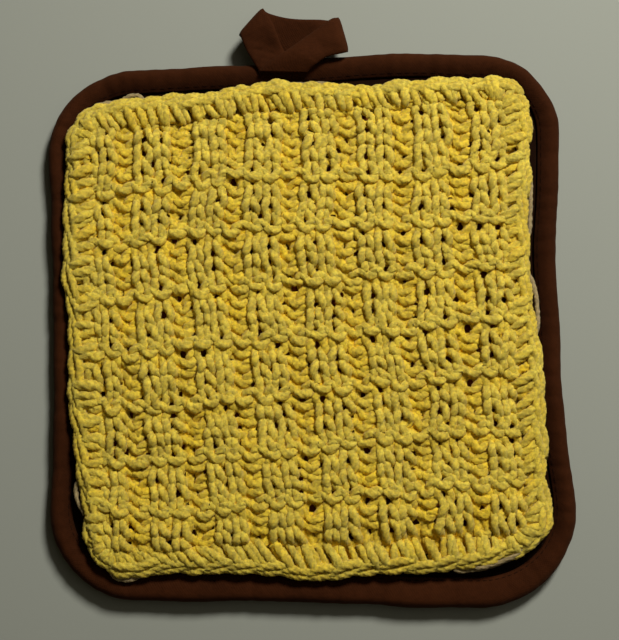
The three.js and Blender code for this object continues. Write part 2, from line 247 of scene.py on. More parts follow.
# Left half of a stitch: across in stitch widths from its middle, along in rows from its base, the depth,
# which takes the sign of its own stitch at the foot and of the next row's stitch at the head, and the
# swell of the strand where it is free
STITCH_POINTS = table(
    "at across along own next swell",
    ("foot", -0.30, -0.14, -0.85, 0.0, 0.95),
    ("crossing", -0.19, 0.20, 0.70, 0.0, 1.0),
    ("leg", -0.25, 0.58, 0.75, 0.50, 1.10),
    ("upper leg", -0.32, 0.94, 0.36, 0.36, 1.0),
    ("shoulder", -0.24, 1.24, 0.0, -0.75, 0.95),
)
HEAD_ALONG = 1.38
SINKER_ALONG = -0.28
PURL_GATHER = 0.72           # how far the legs of a purl stitch draw together behind its bump
PURL_FLAT = 0.60             # how far the bumps of a purl column stand out, to a ridge's
COLUMN_SWELL = 1.16          # head strands where they show as the bumps of a purl column
RIDGE_SWELL = 1.24           # head and sinker strands along a purl ridge
RIDGE_SINKER = 0.6           # how far a ridge's sinker strands stand out, against the others
SINKER_SWELL = 1.1
LEAN_AT_BACK, LEAN_ADDED = 0.05, 0.13    # lean of the stitches in the first row, and what the rest add
PROUD_LIFT, SUNK_BY = 1.05, 1.3          # lift above which a strand has no painted shade, and how far below that it is in full painted shade
SLUB, SLUB_PITCH = 0.08, 5   # slow thick and thin of the yarn, and its length in points of a row

# Unevenness from stitch to stitch, as the least and the most
HEAD_SPREAD = (0.82, 1.12)   # thickness of the head
HEAVE = (-0.15, 0.15)        # how far the head stands out
RIDGE_HEAVE = (-0.4, 0.35)   # the same where the next row is a ridge
DROP = (-0.17, 0.17)         # how far the head hangs down
DROP_FROM = 0.9              # rows from the base of a stitch to where its head begins to hang
TURN = (-0.11, 0.11)         # lean of the stitch

# Crocheted edging: a chain along the outer edge, and two slanting strands to each stitch inside it
EDGING_STITCHES = {
    "front": {"chain": 8.4, "post": 3.5, "radius": 1.36, "reach": 1.06},
    "back": {"chain": 6.4, "post": 3.5, "radius": 1.32, "reach": 0.84},
    "left": {"chain": 9.6, "post": 4.0, "radius": 1.50, "reach": 0.92},
    "right": {"chain": 9.6, "post": 4.0, "radius": 1.48, "reach": 0.92},
}
EDGING_RADIUS = 1.32
CHAIN_TILT = 26.0
CHAIN_HALF_WIDTH = 1.15
CHAIN_HEIGHT = 10.1
CHAIN_INSET = 2.3
CHAIN_SLANT = 1.6            # how far each link runs inwards on its way
CHAIN_POINTS = table(
    "at along across out",
    ("tail", -0.42, 0.10, -1.00),
    ("rise", -0.12, 0.45, -0.20),
    ("belly", 0.30, 1.10, 0.30),
    ("drawn in", 0.72, 0.80, 0.20),
    ("shoulder", 1.02, 0.32, -0.25),
)
CHAIN_HEAD = {"along": 1.16, "out": -0.60}
POST_POINTS = table(
    "at reach height",
    ("under the chain", 0.22, 9.0),
    ("rise", 0.32, 10.3),
    ("crest", 0.52, 11.0),
    ("inner slope", 0.78, 11.1),
    ("bend", 0.98, 10.6),
    ("into the knitting", 1.10, 8.9),
)
POST_LEAN = 4.2              # how far the inner end of a strand trails its outer end
POST_TAPER = (0.85, 1.1, 0.8)    # of its radius, at its outer end, middle and inner end
LAYER_DROP, LAYER_SHADE = 1.1, 0.5   # how much lower a strand of the lower layer lies, and how much painted shade it is given

# Unevenness of the crochet: shares of a size, or millimetres
PITCH_SPREAD = (0.85, 1.15)
CHAIN_BOW, CHAIN_SWELL = (0.85, 1.35), (1.0, 1.25)
CHAIN_SHOVE, CHAIN_LIFT = (-0.7, 0.7), (-0.3, 0.4)
CHAIN_PATCH, POST_PATCH = (-0.3, 0.5), (-0.3, 0.6)   # depth of the dye
POST_STRAY, POST_LEANS = (-0.3, 0.3), (0.35, 1.5)
POST_STRETCH, POST_SWELL = (0.93, 1.07), (0.82, 1.2)
POST_RISE, POST_BEND = (-0.5, 0.6), (-0.9, 0.9)

# Where the handmade edge bulges out, or is drawn in
EDGE_BULGES = table(
    "at near reach out",
    ("front, left of the middle", (-48.0, -85.0), 9.0, -3.0),
    ("front, next to it", (-34.0, -85.0), 6.0, -1.3),
    ("front, middle", (4.0, -85.0), 11.0, -0.6),
    ("front, stitch hanging out", (-3.5, -85.5), 3.2, 1.9),
    ("front, second stitch hanging out", (5.0, -85.5), 3.0, 1.4),
    ("front, right of the middle", (22.0, -85.0), 10.0, -1.1),
    ("front, right", (43.0, -83.0), 6.0, 1.9),
    ("front right corner, drawn in", (65.0, -84.0), 7.0, -3.2),
    ("front right corner", (76.0, -77.0), 9.0, -1.6),
    ("right, front quarter", (82.0, -57.0), 8.0, -2.0),
    ("right, front", (82.0, -35.0), 9.0, -0.9),
    ("right, middle", (80.0, 2.0), 7.0, -0.9),
    ("right, back half", (80.0, 45.0), 14.0, -0.6),
    ("back, tail of yarn", (-24.5, 86.0), 1.8, 2.6),
    ("back, left", (-60.5, 82.5), 5.0, 1.2),
    ("back left corner", (-80.0, 75.0), 7.0, -1.8),
    ("left, middle", (-85.0, 17.5), 7.0, 1.7),
    ("left, front", (-83.0, -22.0), 7.0, 1.8),
    ("left, front end", (-80.0, -61.0), 8.0, -1.6),
    ("front left corner", (-75.0, -77.0), 8.0, -1.4),
)

# Beige joining yarn that shows in short slivers under the edge of the knit square
JOINING_SLIVERS = table(
    "at height through",
    ("right, upper", 8.4, [(76.8, 57), (78.9, 53), (78.8, 43), (77.9, 32), (76.0, 28)]),
    ("right, middle", 8.4, [(76.0, 18), (78.2, 14), (79.4, 7), (79.2, -2), (77.0, -8)]),
    ("corner", 9.2, [(45, -82), (50, -84.3), (60, -82.9), (71, -78.6), (77.6, -73.2), (78, -69)]),
    ("corner, upper", 10.2, [(50, -81.0), (55, -83.2), (61, -82.2), (68, -79.3), (73, -75.0)]),
    ("left, lower", 8.6, [(-78.8, -49), (-80.8, -53), (-80.1, -58), (-77.6, -62)]),
    ("front left corner", 8.8, [(-69, -79), (-68.2, -83), (-63, -84.4), (-58, -82.6)]),
    ("back left corner", 8.2, [(-78, 73), (-76.6, 77), (-71.8, 80.8), (-65, 81.3), (-63, 79)]),
    ("back left", 8.2, [(-64, 81), (-62, 83.2), (-58, 83.8), (-55, 81)]),
    ("back", 7.6, [(-18, 84), (-15, 86.4), (0, 86.6), (9, 86.4), (12, 84)]),
)
JOINING_RADIUS = 0.8

# The tables measure from the middle of the pad; the frame from the middle of pad and loop together
SHIFT = np.array([0.0, -8.54, 0.0])
pad_low, pad_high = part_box("pad")


# --- Small maths ---


def sway_at(values, fraction):
    """Catmull-Rom value through equally spaced values, at a fraction of their length."""
    place = min(max(fraction, 0.0), 1.0) * (len(values) - 1)
    index = min(int(place), len(values) - 2)
    t = place - index
    start, end = values[index], values[index + 1]
    before = values[index - 1] if index > 0 else end
    after = values[index + 2] if index + 2 < len(values) else start
    slope_in, slope_out = (end - before) / 2, (after - start) / 2
    cubic = 2 * (start - end) + slope_in + slope_out
    square = 3 * (end - start) - 2 * slope_in - slope_out
    return ((cubic * t + square) * t + slope_in) * t + start


def outline(corners, corner_steps=14, side_steps=40):
    """Closed anticlockwise outline as arrays of points and outward normals."""
    places = np.array([corner["place"] for corner in corners], float)
    points, normals, arcs = [], [], []
    for index, here in enumerate(places):
        arriving = here - places[index - 1]
        arriving /= np.linalg.norm(arriving)
        leaving = places[(index + 1) % len(corners)] - here
        leaving /= np.linalg.norm(leaving)
        turn = math.acos(float(arriving @ leaving))
        reach = corners[index]["radius"] * math.tan(turn / 2)
        outward = np.array([arriving[1], -arriving[0]])
        start = here - arriving * reach
        arcs.append((start, here + leaving * reach, outward, turn))
    for index, (start, end, outward, turn) in enumerate(arcs):
        radius, sway = corners[index]["radius"], corners[index]["sway"]
        centre = start - outward * radius
        for step in range(corner_steps):
            angle = turn * step / corner_steps
            spin = np.array([[math.cos(angle), -math.sin(angle)], [math.sin(angle), math.cos(angle)]])
            normal = spin @ outward
            points.append(centre + normal * radius)
            normals.append(normal)
        next_start, _, next_outward, _ = arcs[(index + 1) % len(arcs)]
        for step in range(side_steps):
            fraction = step / side_steps
            straight = end * (1 - fraction) + next_start * fraction
            points.append(straight + next_outward * sway_at(sway, fraction))
            normals.append(next_outward)
    return np.array(points), np.array(normals)


def side_curve(corners, index, fraction):
    """Point on the straight side after a corner, with its sway, running from sharp corner to sharp corner."""
    here, there = (np.array(corners[k % len(corners)]["place"], float) for k in (index, index + 1))
    along = (there - here) / np.linalg.norm(there - here)
    outward = np.array([along[1], -along[0]])
    return here * (1 - fraction) + there * fraction + outward * sway_at(corners[index]["sway"], fraction)


def smooth_noise(rng, across, along):
    """Function of (u, v) in stitches, between about -1 and 1, from a seeded grid of values."""
    grid = rng.uniform(-1, 1, (across + 4, along + 4))

    def at(u, v):
        u = np.clip(np.asarray(u, float) + 1.5, 0, across + 2.999)
        v = np.clip(np.asarray(v, float) + 1.5, 0, along + 2.999)
        i, j = u.astype(int), v.astype(int)
        s, t = u - i, v - j
        s, t = s * s * (3 - 2 * s), t * t * (3 - 2 * t)
        i1, j1 = np.minimum(i + 1, across + 3), np.minimum(j + 1, along + 3)
        low = grid[i, j] * (1 - s) + grid[i1, j] * s
        high = grid[i, j1] * (1 - s) + grid[i1, j1] * s
        return low * (1 - t) + high * t

    return at


def catmull_rom(points, steps):
    """Points of a smooth curve through the given ones, a number of steps to each span."""
    points = np.asarray(points, float)
    padded = np.vstack([2 * points[:1] - points[1:2], points, 2 * points[-1:] - points[-2:-1]])
    t = (np.arange(steps) / steps)[None, :, None]
    a, b, c, d = (padded[k:len(padded) - 3 + k, None, :] for k in range(4))
    curve = 0.5 * (2 * b + (c - a) * t + (2 * a - 5 * b + 4 * c - d) * t**2 + (3 * b - a - 3 * c + d) * t**3)
    return np.vstack([curve.reshape(-1, 3), points[-1:]])


def lengths_along(line):
    """How far along a line each of its points lies."""
    return np.concatenate([[0.0], np.cumsum(np.linalg.norm(np.diff(line, axis=0), axis=1))])


def closed(points):
    """Points of an outline with the first one again at the end."""
    return np.vstack([points, points[:1]])


def read_rows(at, places, rows):
    """Rows of numbers read between the places that they stand at."""
    return np.stack([np.interp(at, places, column) for column in rows.T], -1)


# --- Mesh making ---


class MeshParts:
    """Points, faces and UVs gathered from many small pieces into one mesh.

    The shade of a point is painted shade on a yarn, or painted light and shade on a cloth."""

    def __init__(self):
        self.points, self.faces, self.uvs, self.shades, self.count = [], [], [], [], 0

    def add(self, points, faces, uvs, shade=0.0):
        self.shades.append(np.broadcast_to(np.asarray(shade, float), (len(points),)))
        self.points.append(points)
        self.faces.append(np.where(faces < 0, -1, faces + self.count))
        self.uvs.append(uvs)
        self.count += len(points)

    def build(self, name, material, attribute="depth"):
        points = np.vstack(self.points) + SHIFT
        quads = np.vstack(self.faces)
        uvs = np.vstack(self.uvs)
        mesh = bpy.data.meshes.new(name)
        mesh.vertices.add(len(points))
        mesh.vertices.foreach_set("co", (points * MM).ravel())
        triangle = quads[:, 3] < 0
        sizes = np.where(triangle, 3, 4)
        corners = quads.ravel()
        keep = corners >= 0
        mesh.loops.add(int(sizes.sum()))
        mesh.loops.foreach_set("vertex_index", corners[keep])
        mesh.polygons.add(len(quads))
        starts = np.concatenate([[0], np.cumsum(sizes)[:-1]])
        mesh.polygons.foreach_set("loop_start", starts)
        mesh.polygons.foreach_set("use_smooth", np.ones(len(quads), bool))
        layer = mesh.uv_layers.new(name="UVMap")
        layer.data.foreach_set("uv", uvs.reshape(-1, 2)[keep].ravel())
        mesh.update(calc_edges=True)
        # the attribute holds each point's painted light and shade
        shade = mesh.attributes.new(attribute, "FLOAT", "POINT")
        shade.data.foreach_set("value", np.concatenate(self.shades))
        mesh.validate()
        mesh.materials.append(material)
        piece = bpy.data.objects.new(name, mesh)
        bpy.context.scene.collection.objects.link(piece)
        return piece


def tube_frames(line):
    """Two unit vectors across a line at each of its points, carried along it without twisting."""
    tangent = np.gradient(line, axis=0)
    tangent /= np.linalg.norm(tangent, axis=1)[:, None]
    start = np.cross(tangent[0], (0.0, 0.0, 1.0))
    if np.linalg.norm(start) < 0.1:
        start = np.cross(tangent[0], (1.0, 0.0, 0.0))
    across = np.empty_like(line)
    across[0] = start / np.linalg.norm(start)
    for k in range(1, len(line)):
        side = across[k - 1] - tangent[k] * (across[k - 1] @ tangent[k])
        across[k] = side / np.linalg.norm(side)
    return across, np.cross(tangent, across)


def yarn_tube(parts, line, radius, start=0.0, depth=0.0):
    """Adds a plied yarn along a line: a round section with a groove between plies that winds round it.

    Depth, from 0 for strands that stand proud to 1 for sunken ones, is painted shade: it turns the colour to
    the deep yellow, and so does the tube's steep lower side."""
    line = np.asarray(line, float)
    across, up = tube_frames(line)
    rings = len(line)
    length = lengths_along(line)
    sides = np.arange(YARN_SIDES)
    beside = (sides + 1) % YARN_SIDES
    groove = np.where(sides % (YARN_SIDES // PLIES) == 0, PLY_GROOVE, PLY_SWELL)
    turn = 2 * math.pi * (length + start) / PLY_PITCH
    theta = 2 * math.pi * (sides / YARN_SIDES)[None, :] + turn[:, None]
    thick = np.broadcast_to(np.asarray(radius, float), (rings,))[:, None] * groove[None, :]
    spokes = across[:, None, :] * np.cos(theta)[..., None] + up[:, None, :] * np.sin(theta)[..., None]
    points = (line[:, None, :] + spokes * thick[..., None] * YARN_FLATNESS).reshape(-1, 3)
    # painted shade on the sides that face across or down
    flank_shade = np.clip((FLANK_FROM - spokes[..., 2].ravel()) / FLANK_FADE, 0, 1)
    sunk = np.repeat(np.broadcast_to(np.asarray(depth, float), (rings,)), YARN_SIDES)
    sunk = np.clip(sunk + flank_shade, 0, 1)
    faces, places = grid_faces(rings, YARN_SIDES, wrap_columns=True)
    uvs = np.stack([length[places[..., 0].astype(int)] / UV_UNIT, places[..., 1] / YARN_SIDES], -1)
    last, none = (rings - 1) * YARN_SIDES, np.full(YARN_SIDES, -1)
    middle = np.full(YARN_SIDES, rings * YARN_SIDES)
    first_cap = np.stack([beside, sides, middle, none], -1)
    last_cap = np.stack([last + sides, last + beside, middle + 1, none], -1)
    parts.add(
        np.vstack([points, line[:1], line[-1:]]),
        np.vstack([faces, first_cap, last_cap]),
        np.vstack([uvs, np.zeros((2 * YARN_SIDES, 4, 2))]),
        np.concatenate([sunk, sunk[:1], sunk[last:last + 1]]),
    )


def grid_faces(rows, columns, wrap_rows=False, wrap_columns=False):
    """Quads of a grid of points laid out row by row, and the grid place of each corner."""
    r = np.arange(rows if wrap_rows else rows - 1)
    c = np.arange(columns if wrap_columns else columns - 1)
    row, column = (g.ravel() for g in np.meshgrid(r, c, indexing="ij"))
    ahead, beside = (row + 1) % rows, (column + 1) % columns
    here, there = row * columns, ahead * columns
    faces = np.stack([here + column, here + beside, there + beside, there + column], -1)
    places = np.stack([row, column, row, column + 1, row + 1, column + 1, row + 1, column], -1)
    return faces, places.reshape(-1, 4, 2).astype(float)


# --- Materials ---


def new_material(name, colour, roughness, specular=0.3):
    """Material with one Principled shader; returns it, its node tree and the shader."""
    material = bpy.data.materials.new(name)
    material.use_nodes = True
    tree = material.node_tree
    shader = tree.nodes["Principled BSDF"]
    shader.inputs["Base Color"].default_value = (*colour, 1.0)
    shader.inputs["Roughness"].default_value = roughness
    shader.inputs["Specular IOR Level"].default_value = specular
    return material, tree, shader


def node(tree, kind, values=None, **settings):
    made = tree.nodes.new(kind)
    for key, value in settings.items():
        setattr(made, key, value)
    for key, value in (values or {}).items():
        made.inputs[key].default_value = value
    return made


def math_node(tree, operation, first, second=None):
    made = node(tree, "ShaderNodeMath", operation=operation)
    for index, value in enumerate((first, second)):
        if isinstance(value, (int, float)):
            made.inputs[index].default_value = value
        elif value is not None:
            tree.links.new(value, made.inputs[index])
    return made.outputs[0]


def noise(tree, where, scale, detail=3.0, stretch=None):
    """Noise between 0 and 1 over a vector, optionally squashed along its axes."""
    if stretch is not None:
        mapping = node(tree, "ShaderNodeMapping", {"Scale": stretch})
        tree.links.new(where, mapping.inputs["Vector"])
        where = mapping.outputs[0]
    made = node(tree, "ShaderNodeTexNoise", {"Scale": scale, "Detail": detail})
    tree.links.new(where, made.inputs["Vector"])
    return made.outputs["Fac"]


def map_range(tree, value, low, high, to_low, to_high):
    made = node(tree, "ShaderNodeMapRange", {1: low, 2: high, 3: to_low, 4: to_high})
    tree.links.new(value, made.inputs[0])
    return made.outputs[0]


def mix_colour(tree, share, first, second):
    made = node(tree, "ShaderNodeMix", data_type="RGBA")
    for index, value in ((0, share), (6, first), (7, second)):
        tree.links.new(value, made.inputs[index])
    return made.outputs[2]


def scaled_colour(tree, colour, by):
    scaled = node(tree, "ShaderNodeVectorMath", operation="SCALE")
    tree.links.new(colour, scaled.inputs[0])
    tree.links.new(by, scaled.inputs["Scale"])
    return scaled.outputs[0]


def start_group(name, colours):
    """Group of nodes that takes the named colours and gives a colour and a height."""
    tree = bpy.data.node_groups.new(name, "ShaderNodeTree")
    for colour in colours:
        tree.interface.new_socket(colour, in_out="INPUT", socket_type="NodeSocketColor")
    tree.interface.new_socket("Color", in_out="OUTPUT", socket_type="NodeSocketColor")
    tree.interface.new_socket("Height", in_out="OUTPUT", socket_type="NodeSocketFloat")
    given, gives = tree.nodes.new("NodeGroupInput"), tree.nodes.new("NodeGroupOutput")
    place = tree.nodes.new("ShaderNodeTexCoord").outputs["Object"]
    along = node(tree, "ShaderNodeUVMap", uv_map="UVMap").outputs[0]
    split = tree.nodes.new("ShaderNodeSeparateXYZ")
    tree.links.new(along, split.inputs[0])
    return tree, given, gives, place, along, split.outputs


def yarn_group():
    """Plied cotton yarn: takes its two yellows, gives the colour and the height of its fibres. The deep
    yellow goes into random patches of deeper dye, and as painted shade into the ply grooves and wherever the
    points are marked as low or turned away from the light.
    """
    tree, given, gives, place, along, split = start_group("plied_yarn", ("Light", "DeepDyeAndShade"))
    turn = math_node(tree, "MULTIPLY", split[1], math.pi * PLIES)
    ply = math_node(tree, "ABSOLUTE", math_node(tree, "SINE", turn))
    fibres = noise(tree, along, 9.0, 4.0, (1.0, 9.0, 1.0))
    dye = noise(tree, place, 90.0, 2.0)
    mottle = noise(tree, place, 520.0, 3.0)
    dyed = map_range(tree, dye, 0.40, 0.62, 0.0, 0.9)
    mottled = map_range(tree, mottle, 0.35, 0.7, 0.0, 0.5)
    # painted shade: the deep yellow in the grooves between the plies
    groove_shade = map_range(tree, ply, 0.0, 0.6, 0.45, 0.0)
    # painted shade marked on the points, for low strands and steep lower sides
    sunk = node(tree, "ShaderNodeAttribute", attribute_name="depth").outputs["Fac"]
    patchy = map_range(tree, dye, 0.35, 0.65, 0.6, 1.0)
    fuzz = map_range(tree, noise(tree, place, 850.0, 1.0), 0.38, 0.62, 0.78, 1.17)
    faded = map_range(tree, noise(tree, place, 230.0, 2.0), 0.38, 0.62, 0.88, 1.10)
    share = math_node(tree, "MAXIMUM", groove_shade, math_node(tree, "MULTIPLY", dyed, mottled))
    share = math_node(tree, "MAXIMUM", share, math_node(tree, "MULTIPLY", sunk, patchy))
    colour = mix_colour(tree, share, given.outputs["Light"], given.outputs["DeepDyeAndShade"])
    colour = scaled_colour(tree, colour, math_node(tree, "MULTIPLY", fuzz, faded))
    tree.links.new(colour, gives.inputs["Color"])
    height = math_node(tree, "ADD", math_node(tree, "MULTIPLY", fibres, 0.7), mottle)
    tree.links.new(height, gives.inputs["Height"])
    return tree


def cloth_group():
    """Woven cotton: takes its colour, gives it slightly mottled and with the painted light and shade marked
    on its points, and the height of its threads.
    """
    tree, given, gives, place, _, split = start_group("woven_cotton", ("Tint",))
    warp, weft = (
        math_node(tree, "SINE", math_node(tree, "MULTIPLY", way, THREADS * math.pi)) for way in split[:2]
    )
    weave = math_node(tree, "MULTIPLY", warp, weft)
    wear = noise(tree, place, 55.0, 3.0)
    slub = noise(tree, place, 900.0, 2.0)
    worn = map_range(tree, wear, 0.3, 0.7, 0.86, 1.14)
    light = math_node(tree, "ADD", worn, map_range(tree, slub, 0.3, 0.7, -0.1, 0.1))
    # painted light and shade: darker in the seam's valley, much brighter on the face under the knitting
    painted_shading = node(tree, "ShaderNodeAttribute", attribute_name="painted_shading").outputs["Fac"]
    painted_light_factor = map_range(tree, painted_shading, SHADED_SEAM_TONE, LIT_FACE_TONE, SEAM_LIGHT, FACE_LIGHT)
    light = math_node(tree, "MULTIPLY", light, painted_light_factor)
    tree.links.new(scaled_colour(tree, given.outputs["Tint"], light), gives.inputs["Color"])
    crumple = noise(tree, place, 260.0, 2.0)
    height = math_node(tree, "MULTIPLY", weave, 0.16)
    height = math_node(tree, "ADD", height, math_node(tree, "MULTIPLY", crumple, 1.6))
    height = math_node(tree, "ADD", height, math_node(tree, "MULTIPLY", slub, 0.35))
    tree.links.new(height, gives.inputs["Height"])
    return tree


PLIED_YARN = yarn_group()
WOVEN_COTTON = cloth_group()


def cotton_material(name, group, colours, roughness, specular, sheen, relief):
    """Cotton with a group's look in the given colours; sheen is its weight, roughness and tint."""
    material, tree, shader = new_material(name, colours[0], roughness, specular)
    shader.inputs["Sheen Weight"].default_value = sheen[0]
    shader.inputs["Sheen Roughness"].default_value = sheen[1]
    shader.inputs["Sheen Tint"].default_value = (*sheen[2], 1.0)
    look = node(tree, "ShaderNodeGroup", node_tree=group)
    for index, colour in enumerate(colours):
        look.inputs[index].default_value = (*colour, 1.0)
    tree.links.new(look.outputs["Color"], shader.inputs["Base Color"])
    bump = node(tree, "ShaderNodeBump", {"Strength": relief, "Distance": 0.4 * MM})
    tree.links.new(look.outputs["Height"], bump.inputs["Height"])
    tree.links.new(bump.outputs[0], shader.inputs["Normal"])
    return material, shader


def yarn_material(name, light, deep_dye_and_shade):
    sheen = (0.26, 0.6, (1.0, 0.92, 0.68))
    material, shader = cotton_material(name, PLIED_YARN, (light, deep_dye_and_shade), 0.7, 0.34, sheen, 0.8)
    shader.inputs["Subsurface Weight"].default_value = 0.2
    shader.inputs["Subsurface Radius"].default_value = (1.0, 0.8, 0.35)
    shader.inputs["Subsurface Scale"].default_value = 1.4 * MM
    return material


def brown_material(name, colour):
    sheen = (0.04, 0.5, (1.0, 0.55, 0.3))
    return cotton_material(name, WOVEN_COTTON, (colour,), 0.9, 0.06, sheen, 0.6)[0]


# Each yarn: its pale colour, and a deep colour used both for patches of deeper dye and as painted shade in
# grooves, on steep sides and on low strands
YELLOW_YARN = yarn_material("yellow_cotton_yarn", (0.74, 0.592, 0.070), (0.86, 0.585, 0.006))
# The knitting's back: a slightly darker copy of the yarn, shown all in its deep yellow as painted shade
SHADED_YELLOW_GROUND = yarn_material("shaded_yellow_cotton_ground", (0.74, 0.583, 0.070), (0.84, 0.565, 0.006))
BEIGE_YARN = yarn_material("beige_cotton_yarn", (0.42, 0.33, 0.155), (0.29, 0.20, 0.068))
BROWN_CLOTH = brown_material("brown_cotton", (0.033, 0.0095, 0.0028))
BROWN_TAPE = brown_material("brown_bias_tape", (0.041, 0.0115, 0.0032))
BROWN_THREAD = brown_material("brown_thread", (0.05, 0.015, 0.005))


# --- Camera, floor and light ---

CAMERA_ELEVATION = math.radians(84)
CAMERA_ROLL = math.radians(1.5)
CAMERA_DISTANCE = 470.0
FRAME_WIDTH_AT_PAD = 216.0       # width in view at the camera's distance
CAMERA_AIM = (0.5, 3.2, 5.0)     # from the middle of the pad's underside
SENSOR_WIDTH = 36.0
FLOOR_COLOUR = (0.345, 0.376, 0.34)
WARM_ROOM = (1.0, 0.84, 0.52, 1.0)
ROOM_LIGHT = 0.034


def add_camera():
    centre = (pad_low + pad_high) / 2 / MM
    aim = Vector((centre.x, centre.y, 0.0)) + Vector(CAMERA_AIM)
    back = Vector((0, -math.cos(CAMERA_ELEVATION), math.sin(CAMERA_ELEVATION)))
    right = Vector((1, 0, 0))
    up = back.cross(right)
    turned_right = right * math.cos(CAMERA_ROLL) - up * math.sin(CAMERA_ROLL)
    turned_up = right * math.sin(CAMERA_ROLL) + up * math.cos(CAMERA_ROLL)
    data = bpy.data.cameras.new("camera")
    data.sensor_fit = "HORIZONTAL"
    data.sensor_width = SENSOR_WIDTH
    data.lens = SENSOR_WIDTH * CAMERA_DISTANCE / FRAME_WIDTH_AT_PAD
    data.clip_start = 0.01
    camera = bpy.data.objects.new("camera", data)
    place = Matrix((turned_right, turned_up, back)).transposed().to_4x4()
    place.translation = (aim + back * CAMERA_DISTANCE) * MM
    camera.matrix_world = place
    bpy.context.scene.collection.objects.link(camera)
    bpy.context.scene.camera = camera


def add_floor():
    bpy.ops.mesh.primitive_plane_add(size=12, location=(0, 0, 0))
    floor = bpy.context.object
    floor.name = "floor"
    floor.data.materials.append(new_material("pale_floor", FLOOR_COLOUR, 0.8)[0])


def add_light(name, towards, distance, size, power, colour):
    data = bpy.data.lights.new(name, "AREA")
    data.shape = "DISK"
    data.size = size
    data.energy = power
    data.color = colour
    light = bpy.data.objects.new(name, data)
    light.location = Vector(towards).normalized() * distance
    light.rotation_euler = Vector(towards).to_track_quat("Z", "Y").to_euler()
    bpy.context.scene.collection.objects.link(light)


def add_lights():
    add_light("key", (0.49, 0.79, 1.0), 0.85, 0.22, 6.8, (1.0, 0.94, 0.85))
    add_light("fill", (0.5, 0.1, 1.0), 0.8, 0.6, 0.30, (1.0, 0.92, 0.78))
    world = bpy.data.worlds.new("room")
    world.use_nodes = True
    background = world.node_tree.nodes["Background"]
    background.inputs["Color"].default_value = WARM_ROOM
    background.inputs["Strength"].default_value = ROOM_LIGHT
    bpy.context.scene.world = world
    bpy.context.scene.view_settings.view_transform = "Standard"


# --- Pad, binding and loop ---


def crown(x, y):
    """Rise of the padded face towards its middle."""
    across, along = FACE_HALF_SIZE
    return FACE_CROWN * np.clip(1 - (x / across) ** 2, 0, 1) * np.clip(1 - (y / along) ** 2, 0, 1)


def by_side(sizes, normals):
    """A size round the outline that goes over from one side's to the next round the corners."""
    across = np.where(normals[:, 0] > 0, sizes["right"], sizes["left"])
    along = np.where(normals[:, 1] > 0, sizes["back"], sizes["front"])
    return across * normals[:, 0] ** 2 + along * normals[:, 1] ** 2


def ring_points(points, normals, inward, height):
    """Points a way in from an outline, at heights; both may differ from place to place."""
    inward = np.broadcast_to(np.asarray(inward, float), (len(points),))
    height = np.broadcast_to(np.asarray(height, float), (len(points),))
    flat = points - normals * inward[:, None]
    return np.column_stack([flat, height])


def roll_ring(points, normals, depth, angle):
    """Ring on the roll's round outside, or at a depth below it; the angle is from its widest place up."""
    half = ROLL_HEIGHT / 2
    inward = ROLL_CREST_IN - (ROLL_CREST_IN - depth) * math.cos(angle)
    return ring_points(points, normals, inward, half + (half - depth) * math.sin(angle))


def slope_height(normals, share):
    """Height of the binding from its crest, at 0, down to the seam, at 1."""
    return ROLL_HEIGHT - (ROLL_HEIGHT - by_side(SEAM_HEIGHT, normals)) * share**SLOPE_POWER


def slope_ring(points, normals, width, share, depth):
    """Ring on the binding's slope, a share of the way from the crest to the seam, lowered by a depth."""
    inward = ROLL_CREST_IN + (width - ROLL_CREST_IN) * share
    return ring_points(points, normals, inward, slope_height(normals, share) - depth)


class TapeRelief:
    """Rise and fall of the bound edge: slow waves, gathers of the seam, and the listed creases."""

    def __init__(self, points):
        rng = np.random.default_rng(11)
        along = lengths_along(closed(points))
        self.along, self.length = along[:-1], along[-1]
        self.slow = self.waves(rng, SLOW_WAVES, SLOW_WAVE)
        self.gathers = self.waves(rng, GATHERS, GATHER)
        self.creases = []
        for crease in CREASES:
            nearest = np.argmin(np.linalg.norm(points - crease["near"], axis=1))
            self.creases.append((self.along[nearest], crease))

    def waves(self, rng, counts, size):
        total = np.zeros(len(self.along))
        for count in counts:
            angle = 2 * math.pi * count * self.along / self.length + rng.uniform(0, 2 * math.pi)
            total += size * rng.uniform(0.4, 1.6) * np.sin(angle)
        return total

    def at(self, share):
        """Rise at every place along, at a share of the way from the outer edge to the seam."""
        rise = self.slow * (1 - 0.6 * share) + self.gathers * (0.25 + 0.75 * share)
        for place, crease in self.creases:
            centre = place + crease["slant"] * (share - 0.5)
            away = (self.along - centre + self.length / 2) % self.length - self.length / 2
            rise = rise + crease["depth"] * np.exp(-((away / crease["width"]) ** 2)) * (0.35 + 0.65 * share)
        return rise


